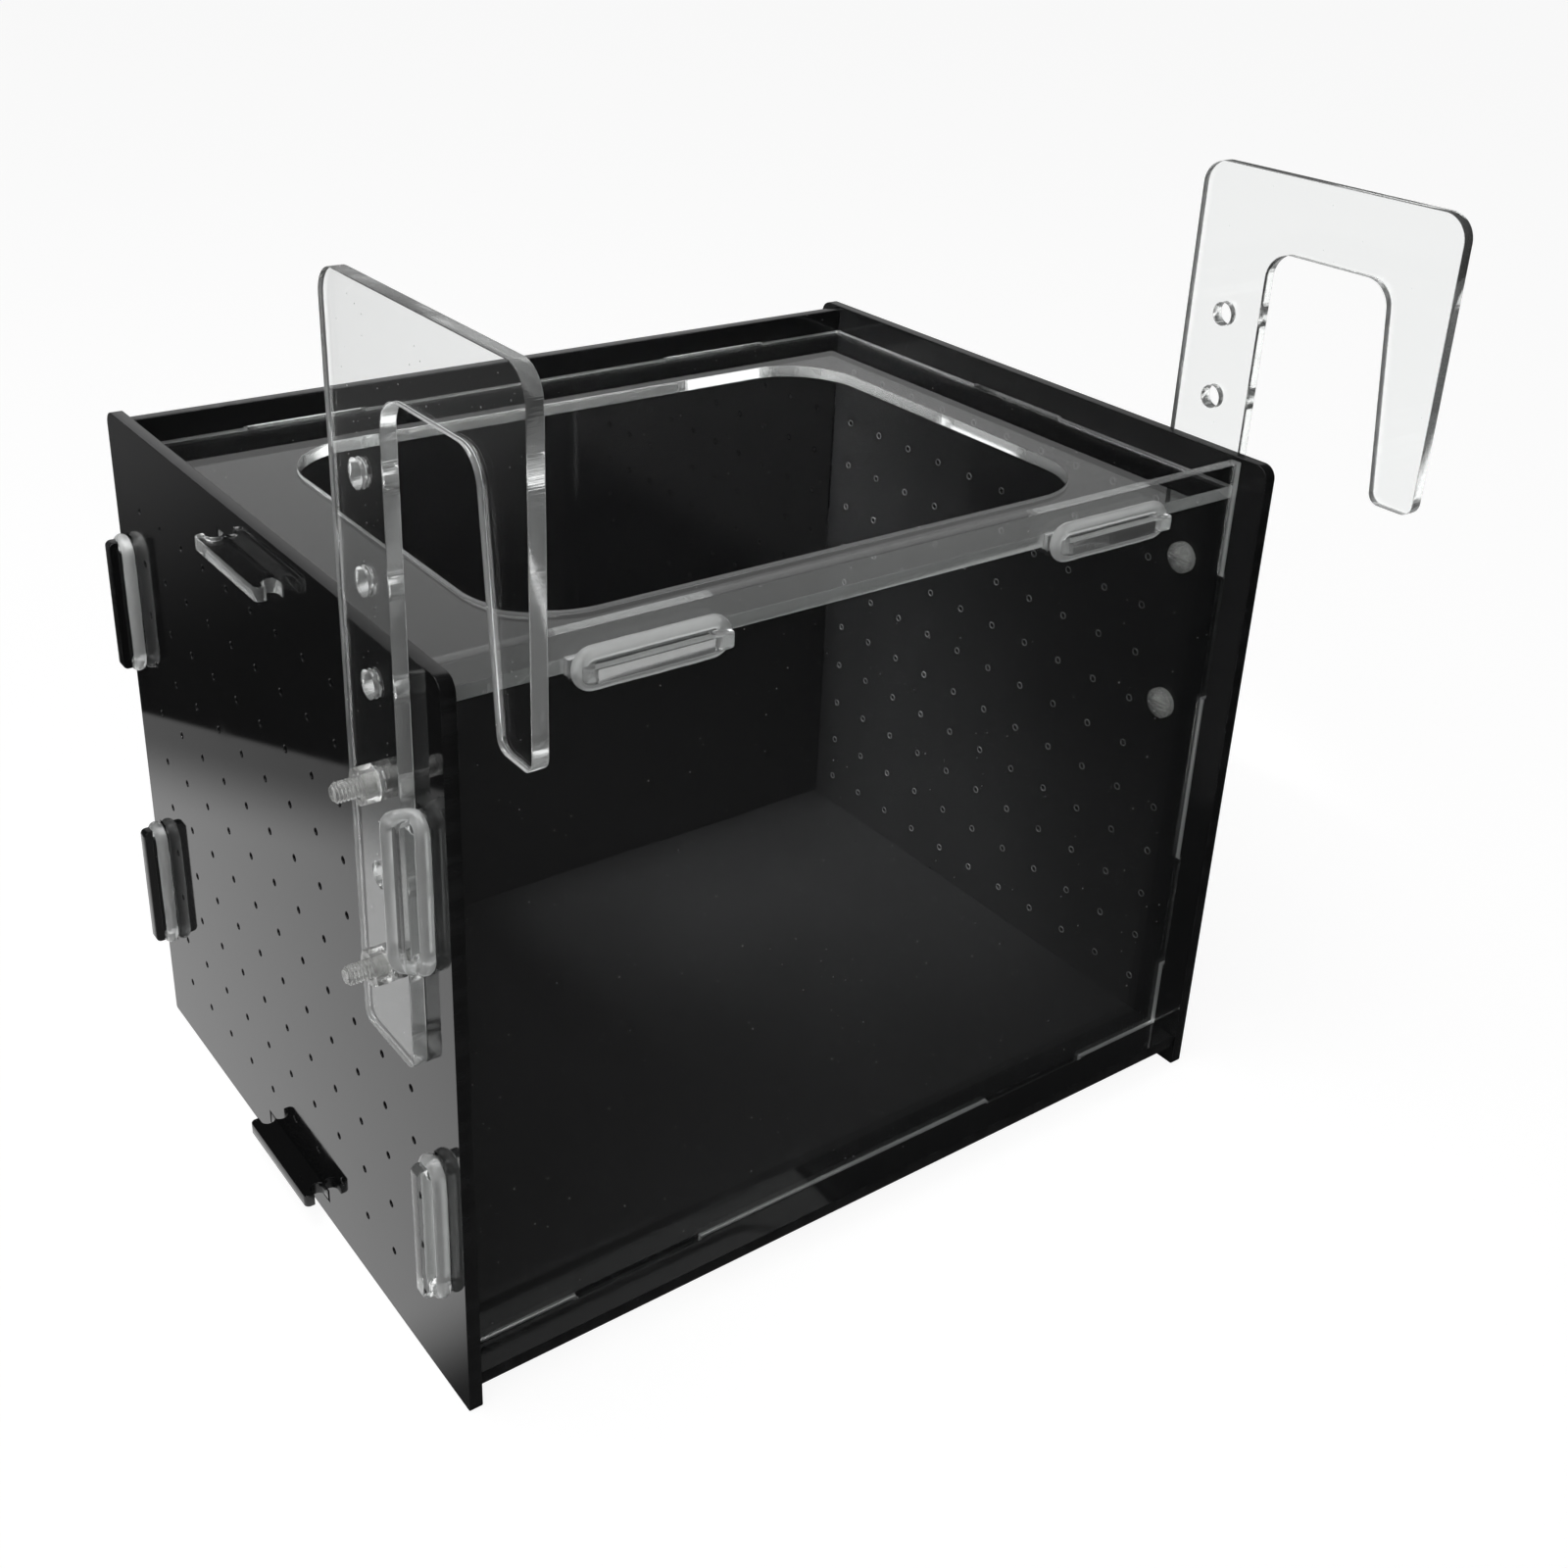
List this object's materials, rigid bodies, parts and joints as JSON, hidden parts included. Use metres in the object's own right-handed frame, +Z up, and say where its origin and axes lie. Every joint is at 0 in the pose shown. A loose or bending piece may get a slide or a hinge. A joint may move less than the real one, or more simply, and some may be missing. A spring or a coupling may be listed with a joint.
{
  "type": "fish breeding box",
  "caption": "Open-topped acrylic breeding box with perforated sides and a clear front, hung inside an aquarium by bolted, height-adjustable hooks.",
  "frame": {"origin": "middle of the footprint of the whole object, hooks included, on the ground plane under the side plates' lower edges", "axes": "+X from the left side plate to the right one, +Y from the tank wall and clear front panel to the black back plate, +Z up"},
  "size_m": [0.2304, 0.2002, 0.228],
  "materials": {
    "black_acrylic": "polished black cast acrylic sheet",
    "clear_acrylic": "polished clear cast acrylic sheet",
    "clear_nylon": "translucent moulded plastic",
    "ring_rubber": "translucent smooth elastomer"
  },
  "bodies": {
    "box": {"left_side_plate": "black_acrylic", "right_side_plate": "black_acrylic", "back_plate": "black_acrylic", "front_panel": "clear_acrylic", "top_panel": "clear_acrylic", "bottom_panel": "black_acrylic", "front_left_upper_ring": "ring_rubber", "front_left_lower_ring": "ring_rubber", "front_right_upper_ring": "ring_rubber", "front_right_lower_ring": "ring_rubber", "back_left_upper_ring": "ring_rubber", "back_left_lower_ring": "ring_rubber", "back_right_upper_ring": "ring_rubber", "back_right_lower_ring": "ring_rubber", "top_front_left_ring": "ring_rubber", "top_front_right_ring": "ring_rubber", "top_back_left_ring": "ring_rubber", "top_back_right_ring": "ring_rubber", "bottom_front_left_ring": "ring_rubber", "bottom_front_right_ring": "ring_rubber", "bottom_back_left_ring": "ring_rubber", "bottom_back_right_ring": "ring_rubber"},
    "left_hook": {"left_hook": "clear_acrylic"},
    "right_hook": {"right_hook": "clear_acrylic"},
    "left_upper_screw": {"left_upper_screw": "clear_nylon"},
    "left_lower_screw": {"left_lower_screw": "clear_nylon"},
    "right_upper_screw": {"right_upper_screw": "clear_nylon"},
    "right_lower_screw": {"right_lower_screw": "clear_nylon"},
    "left_upper_nut": {"left_upper_nut": "clear_nylon"},
    "left_lower_nut": {"left_lower_nut": "clear_nylon"},
    "right_upper_nut": {"right_upper_nut": "clear_nylon"},
    "right_lower_nut": {"right_lower_nut": "clear_nylon"}
  },
  "joints": [
    {"name": "left_hook_off", "type": "slide", "parent": "box", "child": "left_hook", "axis": [-1, 0, 0], "range_m": [0, 0.014], "deforming": ["front_left_upper_ring"]},
    {"name": "right_hook_off", "type": "slide", "parent": "box", "child": "right_hook", "axis": [1, 0, 0], "range_m": [0, 0.014], "deforming": ["front_right_upper_ring"]},
    {"name": "left_upper_screw_turn", "type": "hinge", "parent": "box", "child": "left_upper_screw", "pos_m": [-0.10425, -0.04225, 0.1365], "axis": [1, 0, 0], "range_deg": [0, 4320]},
    {"name": "left_lower_screw_turn", "type": "hinge", "parent": "box", "child": "left_lower_screw", "pos_m": [-0.10425, -0.04225, 0.0977], "axis": [1, 0, 0], "range_deg": [0, 4320]},
    {"name": "right_upper_screw_turn", "type": "hinge", "parent": "box", "child": "right_upper_screw", "pos_m": [0.10425, -0.04225, 0.1365], "axis": [-1, 0, 0], "range_deg": [0, 4320]},
    {"name": "right_lower_screw_turn", "type": "hinge", "parent": "box", "child": "right_lower_screw", "pos_m": [0.10425, -0.04225, 0.0977], "axis": [-1, 0, 0], "range_deg": [0, 4320]},
    {"name": "left_upper_nut_travel", "type": "slide", "parent": "left_hook", "child": "left_upper_nut", "axis": [-1, 0, 0], "range_m": [0, 0.0084]},
    {"name": "left_lower_nut_travel", "type": "slide", "parent": "left_hook", "child": "left_lower_nut", "axis": [-1, 0, 0], "range_m": [0, 0.0084]},
    {"name": "right_upper_nut_travel", "type": "slide", "parent": "right_hook", "child": "right_upper_nut", "axis": [1, 0, 0], "range_m": [0, 0.0084]},
    {"name": "right_lower_nut_travel", "type": "slide", "parent": "right_hook", "child": "right_lower_nut", "axis": [1, 0, 0], "range_m": [0, 0.0084]}
  ],
  "couplings": [
    {"joint": "left_upper_screw_turn", "follows": "left_upper_nut_travel", "rad_per_m": 8976},
    {"joint": "left_lower_screw_turn", "follows": "left_lower_nut_travel", "rad_per_m": 8976},
    {"joint": "right_upper_screw_turn", "follows": "right_upper_nut_travel", "rad_per_m": 8976},
    {"joint": "right_lower_screw_turn", "follows": "right_lower_nut_travel", "rad_per_m": 8976}
  ]
}
